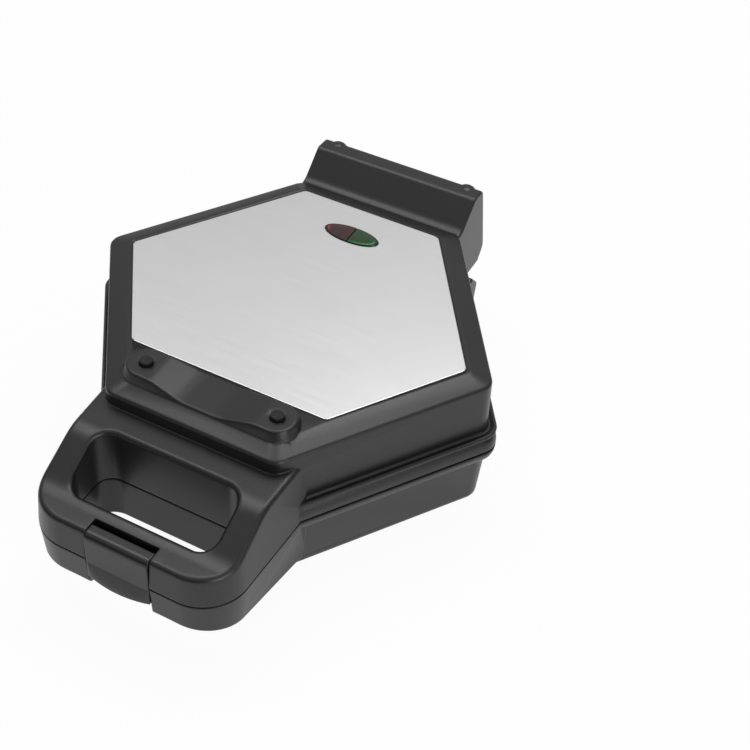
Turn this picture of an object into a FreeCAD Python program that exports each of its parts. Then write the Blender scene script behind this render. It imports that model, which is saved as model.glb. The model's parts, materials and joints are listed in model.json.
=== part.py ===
import FreeCAD
import Part

import math
import os

from FreeCAD import Vector

# Electric egg-waffle maker: two hinged hexagonal casings with cast plates of
# thirty egg-shaped cells, a split hand grip with a swinging latch, and a hump
# over the hinge that comes to rest on the heel of the base when the lid is open.
# Millimetres. While it is modelled, X is across, Y runs from the grip (-) to
# the hinge (+) with zero on the widest row of cells, and Z is zero where the
# two casings meet. Everything is moved to the standing frame when it is written.

# Driving dimensions: casings
slant = math.radians(56.5)
lip_half_width = 111.3
lip_front = 97.0
lip_back = 95.5
lip_corner = 10.5
corner_share = 0.5
least_corner = 1.2
least_edge = 0.01
near = 0.3
lip_gap = 1.2
lid_height = 41.0
bowl_depth = 38.0
wall = 2.2
floor = 2.4
overrun = 4.0

# Driving dimensions: lid outside
rim_edge_round = 0.6
skirt_height = 6.0
skirt_inset = 1.9
bead_height = 9.0
bead_round = 1.3
bead_inset = 0.4
ledge_height = 9.4
cove_round = 1.4
bead_step = 4.7
lid_edge_inset = 5.1
lid_edge_drop = 2.8
lid_edge_round = 1.6
face_inset = 14.5

# Driving dimensions: bowl outside
lower_lip_height = 6.8
underside_inset = 4.1
bowl_foot_inset = 5.9
bowl_foot_round = 4.5

# Driving dimensions: steel panel and lamp lens
panel_side_inset = 16.85
panel_front_inset = 37.2
panel_back_inset = 15.3
panel_corner = 3.0
panel_thickness = 0.8
panel_gap = 0.7
lens_y = 59.6
lens_half_length = 14.8
lens_half_width = 6.0
lens_rise = 0.6
lens_flange = 1.6
lens_clearance = 0.2
lens_split = 0.3
lens_crown = 0.5

# Driving dimensions: front saddle and its rubber studs
stud_x = 34.3
stud_y = -72.9
stud_radius = 3.1
stud_stem_radius = 1.5
stud_rise = 1.7
stud_round = 0.6
stud_sink = 0.9
saddle_radius = 11.0
saddle_draft = 2.2
saddle_height = 4.4
saddle_skirt = 1.6
saddle_edge_round = 1.3
saddle_flat = 0.2
scoop_half_width = 27.0
scoop_floor_half = 10.0
scoop_left = 0.8
scoop_floor_round = 40.0
scoop_brow_round = 18.0
dish_radius = 5.6
dish_depth = 0.5

# Driving dimensions: hump over the hinge
hump_half_width = 45.5
hump_root = 92.0
hump_front = 106.2
hump_root_drop = 0.6
hump_fall = 0.6
hump_tail_round = 0.6
hump_top = 9.4
hump_crown = 116.0
hump_back = 125.4
hump_back_rise = 8.0
hump_tail = 119.3
hump_root_round = 9.0
hump_front_round = 4.0
hump_crown_round = 3.5
hump_back_round = 7.0
hump_side_round = 1.2
bumper_inset = 8.3
bumper_radius = 6.0
bumper_rise = 0.9
bumper_set_back = 0.6
bumper_drop = 1.8

# Driving dimensions: grip
grip_back = 68.0
grip_front = 151.5
grip_half_width_back = 54.6
grip_half_width_front = 52.2
grip_corner = 22.0
grip_draft = 2.6
grip_edge_round = 2.6
grip_top_back = 31.2
grip_top_front = 16.4
grip_bend_back = 110.5
grip_bend_front = 136.0
grip_bend_round = 22.0
grip_seam = 0.5
grip_swell = 0.6
grip_bottom_front = 17.0
grip_bottom_rise = 1.4
hold_half_width = 37.5
hold_back = 105.5
hold_front = 134.5
hold_corner = 9.0
hold_edge_round = 2.4
hold_recess_depth = 3.1
hold_recess_margin = 2.9

# Driving dimensions: latch
latch_half_width = 16.3
latch_side_gap = 0.4
latch_thickness = 2.4
latch_back = 144.3
latch_reach = 11.0
latch_bend = 3.4
latch_slot_back = 141.5
latch_notch_back = 139.0
latch_pin_y = 146.3
latch_pin_below_top = 4.2
latch_pin_radius = 1.4
latch_eye_radius = 3.0
latch_lip = 2.4
latch_lip_start = 2.0
latch_edge_round = 0.8
catch_depth = 7.2
catch_drop = 3.0
catch_thickness = 2.2
catch_gap = 0.3

# Driving dimensions: cast plates
plate_inset = 3.9
plate_corner = 8.0
plate_thickness = 3.6
plate_gap = 0.3
plate_clearance = 0.5
bed_inset = 11.9
bed_corner = 14.5
bed_depth = 1.6
bed_slope = 2.0
cell_rows = (3, 4, 5, 6, 5, 4, 3)
cell_pitch_share = 0.3144
row_pitch_share = 0.1328
cell_length_share = 0.4328
cell_radius_share = 0.5223
cell_wall = 1.4

# Driving dimensions: hinge
hinge_y = 107.8
knuckle_radius = 5.8
hinge_pin_radius = 2.5
running_clearance = 0.05
ear_knuckle = 5.0
knuckle_gap = 0.5
knuckle_margin = 5.25
pin_head_radius = 3.8
pin_head_height = 1.4
tab_inset = 7.0
tab_edge_gap = 0.9
shelf_depth = 6.0
lid_opening = 103.0

# Driving dimensions: heel of the base
heel_peak = 128.0
heel_back = 135.0
heel_foot_back = 133.0
heel_stop_gap = 0.4
heel_round = 2.0
heel_side_round = 1.5
heel_slope_angle = 45.0

# Driving dimensions: feet
foot_radius = 7.0
foot_height = 3.0
foot_stem_radius = 3.0
foot_front_inset = 77.3
foot_front_setback = 25.0
foot_rear_inset = 10.2
foot_rear_y = 121.0
foot_barb = 1.0
foot_round = 1.0

# Driving dimensions: heating and electrical pieces
element_radius = 3.2
element_inset = 11.5
element_corner = 16.0
element_end_x = 9.0
element_pin_radius = 1.4
element_pin_length = 5.0
element_drop = 6.0
shield_depth = 17.0
shield_inset = 9.0
shield_flange = 5.0
shield_thickness = 0.6
post_x = 45.0
post_y = 36.0
post_radius = 4.0
thermostat_radius = 8.0
thermostat_height = 7.0
thermostat_cap_radius = 4.8
thermostat_cap_height = 2.3
thermostat_x = 24.0
thermostat_y = 24.0
fuse_radius = 2.0
fuse_length = 13.0
fuse_clip_length = 6.5
fuse_x = -24.0
fuse_y = 24.0
lamp_radius = 2.4
lamp_length = 12.0
lamp_wall = 1.0
terminal_length = 32.0
terminal_width = 14.0
terminal_height = 9.0
terminal_count = 3
terminal_bore = 2.2
terminal_bore_height = 3.0
terminal_y = 62.0
inlet_radius = 4.6
inlet_bore = 3.0
inlet_flange = 1.6
inlet_stem_radius = 3.9
inlet_height = 6.0
clamp_length = 24.0
clamp_width = 8.0
clamp_height = 5.0
clamp_screw_x = 8.6
clamp_screw_sink = 1.2
clamp_y = 116.0

# Driving dimensions: screws and covers
screw_head_radius = 2.4
screw_head_height = 1.5
screw_head_round = 0.6
screw_radius = 1.4
screw_clearance = 0.1
screw_length = 9.0
screw_boss = 3.6
cross_width = 0.7
cross_half_length = 1.7
cross_depth = 0.9
cover_thickness = 3.0
cover_head_seat = 1.2
hinge_head_seat = 1.5
cover_clearance = 0.15
cover_screw_x = 35.0
boss_overlap = 0.3
cover_screw_front = 142.0
plate_screw_inset = 5.0
plate_screw_y = 96.0
hinge_cover_gap = 0.7
hinge_cover_rise = 1.0
hinge_cover_screw_inset = 5.5
hinge_cover_screw_y = 109.0

# Derived places
lean = 1.0 / math.tan(slant)
parting_height = bowl_depth + foot_height
bowl_floor = floor - bowl_depth
lid_ceiling = lid_height - panel_thickness - wall
tab_root = lip_back - bead_step - 2 * wall
saddle_top = lid_height + saddle_height
hump_level = lid_height + hump_top
grip_bottom_back = bowl_depth - grip_bottom_rise
grip_reach = grip_top_back + grip_bottom_back
seam = lip_gap / 2.0
plate_face = plate_gap / 2.0
plate_seat = plate_face + plate_thickness
cell_level = plate_face + bed_depth
latch_pin_z = grip_top_front - latch_pin_below_top
slot_half_width = latch_half_width + latch_side_gap
tab_half_width = hump_half_width - tab_inset
knuckle_reach = tab_half_width - knuckle_margin
wide_knuckle = knuckle_reach - ear_knuckle - knuckle_gap - knuckle_gap / 2.0
tab_edge = hinge_y - knuckle_radius - tab_edge_gap
heel_half_width = tab_half_width + plate_clearance + wall
foot_front_x = lip_half_width - foot_front_inset
foot_front_y = foot_front_setback - lip_front
heel_step = tab_edge + plate_clearance
grip_hollow_back = lip_front - plate_inset + plate_clearance + wall
cover_screw_back = grip_hollow_back + screw_boss - boss_overlap
clamp_head_seat = bowl_floor + clamp_height - screw_head_height
heel_drop = (heel_back - heel_peak) * math.tan(math.radians(heel_slope_angle))
quarter_turn = 90.0
half_turn = 180.0
bead_start = -110.0
skirt_turn = 75.0
steps_per_round = 5

X_AXIS = Vector(1, 0, 0)
Y_AXIS = Vector(0, 1, 0)
Z_AXIS = Vector(0, 0, 1)
ORIGIN = Vector(0, 0, 0)


# Drawing helpers
def plan(z):
    return lambda a, b: Vector(a, b, z)


def side(x):
    return lambda a, b: Vector(x, a, b)


def rounded(points, radius, place):
    """Closed wire through the points, each corner turned with its radius."""
    count = len(points)
    radii = radius if isinstance(radius, (list, tuple)) else [radius] * count
    flat = [Vector(a, b, 0) for a, b in points]
    corners = []
    for i, p in enumerate(flat):
        to_last = (flat[i - 1] - p).normalize()
        to_next = (flat[(i + 1) % count] - p).normalize()
        half = to_last.getAngle(to_next) / 2.0
        trim = radii[i] / math.tan(half)
        across = (to_last + to_next).normalize() if radii[i] else Vector(0, 0, 0)
        middle = p + across * (radii[i] / math.sin(half) - radii[i])
        corners.append((p + to_last * trim, middle, p + to_next * trim))
    edges = []
    for i, (start, middle, end) in enumerate(corners):
        if radii[i]:
            edges.append(Part.Arc(*(place(v.x, v.y) for v in (start, middle, end))).toShape())
        after = corners[(i + 1) % count][0]
        if (after - end).Length > least_edge:
            edges.append(Part.makeLine(place(end.x, end.y), place(after.x, after.y)))
    return Part.Wire(edges)


def prism(points, radius, low, high):
    face = Part.Face(rounded(points, radius, plan(low)))
    return face.extrude(Vector(0, 0, high - low))


def across(points, radius, half_width):
    """Side profile in Y and Z, drawn out to both sides of the middle."""
    face = Part.Face(rounded(points, radius, side(-half_width)))
    return face.extrude(Vector(2 * half_width, 0, 0))


def box(x0, x1, y0, y1, z0, z1):
    return Part.makeBox(x1 - x0, y1 - y0, z1 - z0, Vector(x0, y0, z0))


def rod(radius, length, base, axis=Z_AXIS):
    return Part.makeCylinder(radius, length, base, axis)


def turned_over(shape):
    """The lower half of a matched pair turned about Y to make the upper one."""
    copy = shape.copy()
    copy.rotate(ORIGIN, Y_AXIS, half_turn)
    return copy


def flipped(shape):
    return shape.mirror(ORIGIN, Z_AXIS)


def hexagon(half_width, front, back):
    back_half = half_width - back * lean
    front_half = half_width - front * lean
    return [
        (half_width, 0),
        (back_half, back),
        (-back_half, back),
        (-half_width, 0),
        (-front_half, -front),
        (front_half, -front),
    ]


def casing_hexagon(inset):
    return hexagon(
        lip_half_width - inset / math.sin(slant), lip_front - inset, lip_back - inset
    )


def casing_corner(inset):
    return max(lip_corner - corner_share * inset, least_corner)


def casing(profile):
    """Stack of hexagons through (inset, height) pairs, closed into a solid."""
    wires = [rounded(casing_hexagon(i), casing_corner(i), plan(z)) for i, z in profile]
    return Part.makeLoft(wires, True, True)


def turn(inset, z, reach_in, reach_z, start, end):
    """Profile points round a quarter or less, from start to end in degrees."""
    points = []
    for k in range(steps_per_round + 1):
        a = math.radians(start + (end - start) * k / steps_per_round)
        points.append((inset - reach_in * math.cos(a), z + reach_z * math.sin(a)))
    return points


def cove(inset, z, radius):
    """Hollow quarter round from a ledge at height z up to a wall at the inset."""
    middle_inset = inset - radius
    return [
        (middle_inset + a, z + radius - b)
        for a, b in turn(0, 0, -radius, radius, quarter_turn, 0)
    ]


def ellipse_face(half_length, half_width, centre):
    curve = Part.Ellipse(centre, half_length, half_width)
    return Part.Face(Part.Wire([curve.toShape()]))


def edges_where(shape, test):
    return [e for e in shape.Edges if test(e)]


def middle_of(edge):
    return edge.valueAt((edge.FirstParameter + edge.LastParameter) / 2.0)


# Screws
def screw(x, y, z, up):
    """Pan-head screw with its head's underside at z; up is +1 or -1."""
    head = rod(screw_head_radius, screw_head_height, ORIGIN)
    rim = edges_where(head, lambda e: middle_of(e).z > screw_head_height / 2.0)
    head = head.makeFillet(screw_head_round, rim[:1])
    shank = rod(screw_radius, screw_length, Vector(0, 0, -screw_length))
    body = head.fuse(shank)
    top = screw_head_height
    slot = box(
        -cross_half_length, cross_half_length, -cross_width / 2, cross_width / 2,
        top - cross_depth, top + overrun,
    )
    crossed = slot.copy()
    crossed.rotate(ORIGIN, Z_AXIS, quarter_turn)
    body = body.cut([slot, crossed])
    if up < 0:
        body.rotate(ORIGIN, X_AXIS, half_turn)
    body.translate(Vector(x, y, z))
    return body


def screw_hole(x, y, z, up, depth):
    """Head recess above z and pilot hole below it."""
    head = rod(screw_head_radius + 2 * screw_clearance, overrun + screw_head_height, ORIGIN)
    tool = pilot(0, 0, 0, depth).fuse(head)
    if up < 0:
        tool.rotate(ORIGIN, X_AXIS, half_turn)
    tool.translate(Vector(x, y, z))
    return tool


def pair_x(places):
    return [(s * x, y) for x, y in places for s in (-1, 1)]


# Casing bodies
def lid_outside():
    """Swelling skirt, a bead with a cove behind it, then the steep wall and sloping top."""
    skirt_low = seam + rim_edge_round
    edge_z = lid_height - lid_edge_drop
    slope = math.degrees(math.atan2(lid_edge_drop, face_inset - lid_edge_inset))
    profile = turn(rim_edge_round, skirt_low, rim_edge_round, rim_edge_round, -quarter_turn, 0)
    profile += turn(
        skirt_inset, skirt_low, skirt_inset, skirt_height - rim_edge_round, 0, skirt_turn
    )[1:]
    profile += turn(
        bead_inset + bead_round, bead_height, bead_round, bead_round, bead_start, quarter_turn
    )
    profile += cove(bead_step, ledge_height, cove_round)
    profile += turn(
        lid_edge_inset + lid_edge_round, edge_z - lid_edge_round,
        lid_edge_round, lid_edge_round, 0, quarter_turn - slope,
    )
    profile.append((face_inset, lid_height))
    return casing(profile)


def bowl_outside():
    top = -seam - rim_edge_round
    profile = turn(rim_edge_round, top, rim_edge_round, rim_edge_round, quarter_turn, 0)
    profile += turn(
        underside_inset, top, underside_inset, lower_lip_height - rim_edge_round, 0, -quarter_turn
    )[1:]
    profile += turn(
        bowl_foot_inset + bowl_foot_round, bowl_foot_round - bowl_depth,
        bowl_foot_round, bowl_foot_round, 0, -quarter_turn,
    )
    return casing(profile)


def lid_inside():
    inner = bead_step + wall
    edge = lid_edge_inset + wall
    return casing([
        (inner, plate_seat - overrun),
        (inner, plate_seat),
        (edge, lid_height - lid_edge_drop - wall),
        (face_inset, lid_ceiling),
    ])


def bowl_inside():
    inner = underside_inset + wall
    return casing([
        (inner, overrun - plate_seat),
        (inner, -seam - lower_lip_height),
        (bowl_foot_inset + wall, bowl_foot_round - bowl_depth),
        (bowl_foot_inset + wall + floor / 2.0, bowl_floor),
    ])


# Grip
def grip_points(inset, back):
    run = grip_front - grip_back
    half_back = grip_half_width_back - inset
    half_front = grip_half_width_front - inset
    at_back = half_front + (half_back - half_front) * (grip_front - back) / run
    front = grip_front - inset
    return [
        (at_back, -back),
        (-at_back, -back),
        (-half_front, -front),
        (half_front, -front),
    ]


def grip_body(inset, back, z, height, sign):
    """Drafted plan of the grip from the seam outwards, sign +1 up or -1 down."""
    corner = max(grip_corner - inset, least_corner)
    lower = rounded(grip_points(inset, back), [0, 0, corner, corner], plan(sign * z))
    narrow = max(corner - grip_draft, least_corner)
    upper = rounded(
        grip_points(inset + grip_draft, back), [0, 0, narrow, narrow], plan(sign * height)
    )
    return Part.makeLoft([lower, upper], True, True)


def grip_top_profile(drop):
    """Side outline under the grip's curved top, lowered by drop."""
    return [
        (-grip_back + overrun, -overrun),
        (-grip_front - overrun, -overrun),
        (-grip_front - overrun, grip_top_front - drop),
        (-grip_bend_front, grip_top_front + grip_swell - drop),
        (-grip_bend_back, grip_top_back - grip_swell - drop),
        (-grip_back + overrun, grip_top_back - drop),
    ]


def grip_top_cut(drop):
    radii = [0, 0, 0, grip_bend_round, grip_bend_round, 0]
    return across(grip_top_profile(drop), radii, grip_half_width_back + overrun)


def grip_bottom_cut(rise):
    points = [
        (-grip_back + overrun, overrun),
        (-grip_back + overrun, rise - grip_bottom_back),
        (-grip_front - overrun, rise - grip_bottom_front),
        (-grip_front - overrun, overrun),
    ]
    return across(points, 0, grip_half_width_back + overrun)


def hold_points(grow):
    half = hold_half_width + grow
    return [
        (half, -hold_back + grow),
        (-half, -hold_back + grow),
        (-half, -hold_front - grow),
        (half, -hold_front - grow),
    ]


def hold_prism(grow):
    return prism(hold_points(grow), hold_corner + grow, -grip_reach, grip_reach)


def hold_recess(inset):
    """Shallow recess in the grip's underside round the hand opening, open towards the bowl."""
    margin = hold_recess_margin + inset
    half = hold_half_width + margin
    below = box(
        -half, half, -hold_front - margin, overrun - grip_back, -grip_reach - overrun, 0,
    )
    return below.cut(grip_bottom_cut(hold_recess_depth + inset))


def soften_grip(solid, sign):
    """Round the long outer edge and the rim of the hand opening."""
    level = grip_seam + overrun
    outer = [
        e for e in solid.Edges
        if min(v.Z * sign for v in e.Vertexes) > level
        and middle_of(e).y < -grip_back - overrun and not in_hold(e)
    ]
    solid = solid.makeFillet(grip_edge_round, outer)
    if sign < 0:
        solid = solid.cut(hold_recess(0))
    rim = [e for e in solid.Edges if in_hold(e) and min(v.Z * sign for v in e.Vertexes) > level]
    return solid.makeFillet(hold_edge_round, rim)


def in_hold(edge):
    p = middle_of(edge)
    margin = hold_edge_round / 2.0
    return (
        abs(p.x) < hold_half_width + margin
        and -hold_front - margin < p.y < -hold_back + margin
    )


def grip_half(inset, back, z, sign):
    if sign > 0:
        return grip_body(inset, back, z, grip_top_back, 1).common(grip_top_cut(inset))
    return grip_body(inset, back, z, grip_bottom_back, -1).common(grip_bottom_cut(inset))


def slot_back(sign):
    return latch_slot_back if sign > 0 else latch_notch_back


def slot_walls(sign, gap):
    """Block round the latch slot that the grip's hollow and cover stay clear of."""
    half = slot_half_width + wall + gap
    back = wall + gap - slot_back(sign)
    return box(-half, half, -grip_front - overrun, back, -grip_reach, grip_reach)


def grip_outside(sign):
    solid = grip_half(0, grip_back, grip_seam, sign).cut(hold_prism(0))
    return soften_grip(solid, sign)


def grip_inside(sign):
    """Hollow of the grip, clear of the hand opening, slot and screw bosses."""
    solid = grip_half(wall, grip_hollow_back, -overrun, sign)
    if sign < 0:
        solid = solid.cut(hold_recess(wall))
    bosses = [
        rod(screw_boss, 2 * grip_reach, Vector(x, y, -grip_reach)) for x, y in cover_screws()
    ]
    return solid.cut([hold_prism(wall), slot_walls(sign, 0)] + bosses)


def cover_screws():
    return pair_x([(cover_screw_x, -cover_screw_back), (cover_screw_x, -cover_screw_front)])


def cover_level():
    return grip_seam / 2.0


def cover_prism(clearance, low, high):
    points = grip_points(wall + clearance, grip_hollow_back + clearance)
    corner = grip_corner - wall - clearance
    return prism(points, [0, 0, corner, corner], low, high)


def grip_cover(sign):
    """Plate that closes the hollow of one half of the grip at the seam."""
    low = cover_level()
    high = low + cover_thickness
    solid = cover_prism(cover_clearance, low, high)
    tools = [hold_prism(wall + cover_clearance), slot_walls(sign, cover_clearance)]
    tools += [
        screw_hole(x, y, high - cover_head_seat, -1, screw_length + overrun)
        for x, y in cover_screws()
    ]
    solid = solid.cut(tools)
    return solid if sign > 0 else flipped(solid)


def cover_pocket(sign):
    low = cover_level()
    solid = cover_prism(0, low - overrun, low + cover_thickness)
    solid = solid.cut([hold_prism(wall), slot_walls(sign, 0)])
    return solid if sign > 0 else flipped(solid)


def grip_cover_screws(sign):
    z = cover_level() + cover_thickness - cover_head_seat
    solids = [screw(x, y, z, -1) for x, y in cover_screws()]
    group = Part.makeCompound(solids)
    return group if sign > 0 else flipped(group)


def slot_box(sign):
    return box(
        -slot_half_width, slot_half_width, -grip_front - overrun, -slot_back(sign),
        -grip_reach, grip_reach,
    )


# Hump and heel
def hump_points():
    """Side outline of the hump, from inside the lid over the top to its tail."""
    root = lid_height - lid_edge_drop - hump_root_drop
    front = hump_root - overrun - wall
    points = [
        (front, seam),
        (front, root),
        (hump_root, root),
        (hump_front, hump_level),
        (hump_crown, hump_level - hump_fall),
        (hump_back, hump_back_rise),
        (hump_tail, seam),
    ]
    radii = [
        0, 0, hump_root_round, hump_front_round, hump_crown_round, hump_back_round,
        hump_tail_round,
    ]
    return points, radii


def hump_room_points():
    """The hump's hollow, one wall inside its outline."""
    root = lid_height - lid_edge_drop - hump_root_drop
    slope = (hump_top + lid_edge_drop + hump_root_drop) / (hump_front - hump_root)
    shift = wall * math.sqrt(1 + slope * slope)
    start = lip_back - bead_step
    points = [
        (start, -overrun),
        (start, root - shift + (start - hump_root) * slope),
        (hump_front + wall / 2.0, hump_level - wall),
        (hump_crown - wall / 2.0, hump_level - hump_fall - wall),
        (hump_back - wall, hump_back_rise + wall),
        (hump_tail - wall, -overrun),
    ]
    radii = [0, 0, hump_front_round / 2.0, hump_crown_round / 2.0, hump_back_round - wall, 0]
    return points, radii


def hump_outside():
    points, radii = hump_points()
    solid = across(points, radii, hump_half_width)
    flank = edges_where(
        solid,
        lambda e: abs(abs(middle_of(e).x) - hump_half_width) < near
        and middle_of(e).y > hump_root and middle_of(e).z > seam + near,
    )
    solid = solid.makeFillet(hump_side_round, flank)
    sink = (bumper_radius - bumper_rise) / math.sqrt(2.0)
    bumper_y = hump_crown + bumper_set_back - sink
    bumper_z = hump_level - bumper_drop - sink
    bumper_x = hump_half_width - bumper_inset
    bumpers = [
        Part.makeSphere(bumper_radius, Vector(s * bumper_x, bumper_y, bumper_z)) for s in (-1, 1)
    ]
    return solid.fuse(bumpers)


def hump_inside():
    points, radii = hump_room_points()
    return across(points, radii, hump_half_width - wall)


def swung(y, z, angle):
    """Place in Y and Z of a lid point when the lid is open by an angle."""
    a = math.radians(angle)
    dy = y - hinge_y
    return hinge_y + dy * math.cos(a) + z * math.sin(a), -dy * math.sin(a) + z * math.cos(a)


def heel_top():
    """Height at which the open lid's hump comes to rest on the heel."""
    lowest = min(
        swung(hump_back, hump_back_rise, lid_opening)[1],
        swung(hump_crown, hump_level, lid_opening)[1],
    )
    return lowest - heel_stop_gap


def heel_points():
    """Side outline of the heel, with the step under the hinge tab."""
    front = lip_back - underside_inset - 2 * wall
    return [
        (front, -seam),
        (heel_step, -seam),
        (heel_step, heel_top()),
        (heel_peak, heel_top()),
        (heel_back, heel_top() - heel_drop),
        (heel_foot_back, -bowl_depth),
        (front, -bowl_depth),
    ]


def heel_room_points():
    """The heel's hollow behind the bowl's back wall."""
    front = lip_back - underside_inset
    top = heel_top() - wall
    share = math.tan(math.radians(heel_slope_angle / 2.0))
    return [
        (front, -plate_seat - shelf_depth),
        (heel_step - wall, -plate_seat - shelf_depth),
        (heel_step - wall, top),
        (heel_peak - wall * share, top),
        (heel_back - wall, top - heel_drop + wall - wall * share),
        (heel_foot_back - wall, bowl_floor),
        (front, bowl_floor),
    ]


def heel_outside():
    radii = [0, 0, 0, heel_round, heel_round, 0, 0]
    solid = across(heel_points(), radii, heel_half_width)
    flank = edges_where(
        solid,
        lambda e: abs(abs(middle_of(e).x) - heel_half_width) < near
        and middle_of(e).y > heel_step + near and middle_of(e).z > near - bowl_depth,
    )
    return solid.makeFillet(heel_side_round, flank)


def heel_inside():
    return across(heel_room_points(), 0, heel_half_width - wall)


def on_heel_back(shape, height):
    """Turn a shape drawn about Y onto the heel's leaning back wall."""
    rise = bowl_depth + heel_top() - heel_drop
    lean_back = heel_back - heel_foot_back
    shape.rotate(ORIGIN, X_AXIS, -math.degrees(math.atan2(lean_back, rise)))
    shape.translate(Vector(0, heel_foot_back + lean_back * height / rise, height - bowl_depth))
    return shape


# Plates
def bed_half_width():
    return lip_half_width - bed_inset / math.sin(slant)


def cell_pitch():
    return cell_pitch_share * bed_half_width()


def row_pitch():
    return row_pitch_share * (lip_front + lip_back - 2 * bed_inset)


def cell_places():
    places = []
    rows = len(cell_rows)
    for r, count in enumerate(cell_rows):
        y = ((rows - 1) / 2.0 - r) * row_pitch()
        places += [((k - (count - 1) / 2.0) * cell_pitch(), y) for k in range(count)]
    return places


def half_egg(half_length, radius, x, y, z):
    """Lower half of an egg form turned about the X direction, flat at z."""
    middle = Vector(x, y, z)
    end = middle + half_length * X_AXIS
    side_point = middle + radius * Y_AXIS
    if half_length >= radius:
        half = Part.ArcOfEllipse(Part.Ellipse(end, side_point, middle), 0, math.pi).toShape()
    else:
        curve = Part.Ellipse(side_point, end, middle)
        half = Part.ArcOfEllipse(curve, -math.pi / 2, math.pi / 2).toShape()
    chord = Part.makeLine(half.valueAt(half.LastParameter), half.valueAt(half.FirstParameter))
    face = Part.Face(Part.Wire([half, chord]))
    return face.revolve(middle, X_AXIS, -half_turn)


def tab_points(grow):
    half = tab_half_width + grow
    return [
        (half, tab_root),
        (half, tab_edge + grow),
        (-half, tab_edge + grow),
        (-half, tab_root),
    ]


def plate_blank(grow, low, high):
    body = prism(casing_hexagon(plate_inset - grow), plate_corner + grow, low, high)
    tab = prism(tab_points(grow), [0, plate_corner / 2, plate_corner / 2, 0], low, high)
    return body.fuse(tab).removeSplitter()


def knuckle(x0, x1):
    barrel = rod(knuckle_radius, x1 - x0, Vector(x0, hinge_y, 0), X_AXIS)
    web = box(x0, x1, tab_edge - overrun, hinge_y, -plate_seat, -plate_face)
    return barrel.fuse(web)


def lower_plate():
    solid = plate_blank(0, -plate_seat, -plate_face)
    half_length = cell_length_share * cell_pitch()
    radius = cell_radius_share * row_pitch()
    lumps = []
    cells = []
    for x, y in cell_places():
        lumps.append(half_egg(half_length + cell_wall, radius + cell_wall, x, y, -cell_level))
        cells.append(half_egg(half_length, radius, x, y, -cell_level))
    solid = solid.fuse(lumps)
    top = casing_hexagon(bed_inset - bed_slope)
    bottom = casing_hexagon(bed_inset)
    bed = Part.makeLoft([
        rounded(bottom, bed_corner, plan(-plate_face - bed_depth)),
        rounded(top, bed_corner + bed_slope, plan(-plate_face)),
    ], True, True)
    above = prism(top, bed_corner + bed_slope, -plate_face, overrun)
    solid = solid.cut([bed, above] + cells)
    first = -knuckle_gap / 2.0
    last = knuckle_gap / 2.0 + wide_knuckle + knuckle_gap
    solid = solid.fuse([
        knuckle(first - wide_knuckle, first),
        knuckle(last, last + ear_knuckle),
    ]).removeSplitter()
    bore = rod(
        hinge_pin_radius + running_clearance, 2 * (knuckle_reach + overrun),
        Vector(-knuckle_reach - overrun, hinge_y, 0), X_AXIS,
    )
    solid = solid.cut(bore)
    return solid.cut([
        screw_hole(x, y, plate_screw_level(), 1, screw_length) for x, y in plate_screw_places()
    ])


def plate_screw_places():
    return pair_x([(tab_half_width - plate_screw_inset, plate_screw_y)])


def plate_screw_level():
    return -plate_face - screw_head_height - screw_clearance


def plate_screws(sign):
    solids = [screw(x, y, plate_screw_level(), 1) for x, y in plate_screw_places()]
    group = Part.makeCompound(solids)
    return flipped(group) if sign > 0 else group


def pilot(x, y, z, depth):
    """Hole for a screw's shank, from z downwards."""
    return rod(screw_radius + screw_clearance, depth, Vector(x, y, z - depth))


def plate_pilots(sign):
    """Holes in the casing's shelf for the two rear plate screws."""
    depth = screw_length + screw_clearance
    tools = [pilot(x, y, plate_screw_level(), depth) for x, y in plate_screw_places()]
    group = Part.makeCompound(tools)
    return flipped(group) if sign > 0 else group


def lid_shelf():
    """Shelf in the hump that the upper plate's tab is screwed to."""
    return box(
        -heel_half_width, heel_half_width, tab_root, heel_step,
        plate_seat, plate_seat + shelf_depth,
    )


# Posts inside a casing that carry the heat shield
def shield_posts(sign, end):
    low = -end
    high = -shield_depth - shield_thickness
    posts = [rod(post_radius, high - low, Vector(x, y, low)) for x, y in shield_screw_places()]
    return [flipped(p) for p in posts] if sign > 0 else posts


def shield_screw_places():
    return [(sx * post_x, sy * post_y) for sx in (-1, 1) for sy in (-1, 1)]


def shield_pilots(sign):
    depth = screw_length + screw_clearance
    tools = [pilot(x, y, -shield_depth, depth) for x, y in shield_screw_places()]
    return [flipped(t) for t in tools] if sign > 0 else tools


def heat_shield(sign):
    """Pressed tray between the plate and the casing, open at the back."""
    flat = prism(
        casing_hexagon(shield_inset), least_corner, -shield_depth - shield_thickness, -shield_depth
    )
    outer = prism(
        casing_hexagon(shield_inset), least_corner,
        -shield_depth - shield_thickness, shield_flange - shield_depth,
    )
    inner = prism(
        casing_hexagon(shield_inset + shield_thickness), least_corner,
        -shield_depth - overrun, shield_flange - shield_depth + overrun,
    )
    solid = outer.cut(inner).fuse(flat).removeSplitter()
    gap = element_end_x + 2 * element_radius
    tools = [box(
        -gap, gap, lip_back - element_inset - 2 * element_radius, lip_back,
        -shield_depth - overrun, shield_flange - shield_depth + overrun,
    )]
    tools += [
        pilot(x, y, overrun - shield_depth, 2 * overrun) for x, y in shield_screw_places()
    ]
    solid = solid.cut(tools)
    return flipped(solid) if sign > 0 else solid


def shield_screws(sign):
    solids = [screw(x, y, -shield_depth, 1) for x, y in shield_screw_places()]
    group = Part.makeCompound(solids)
    return flipped(group) if sign > 0 else group


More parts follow.
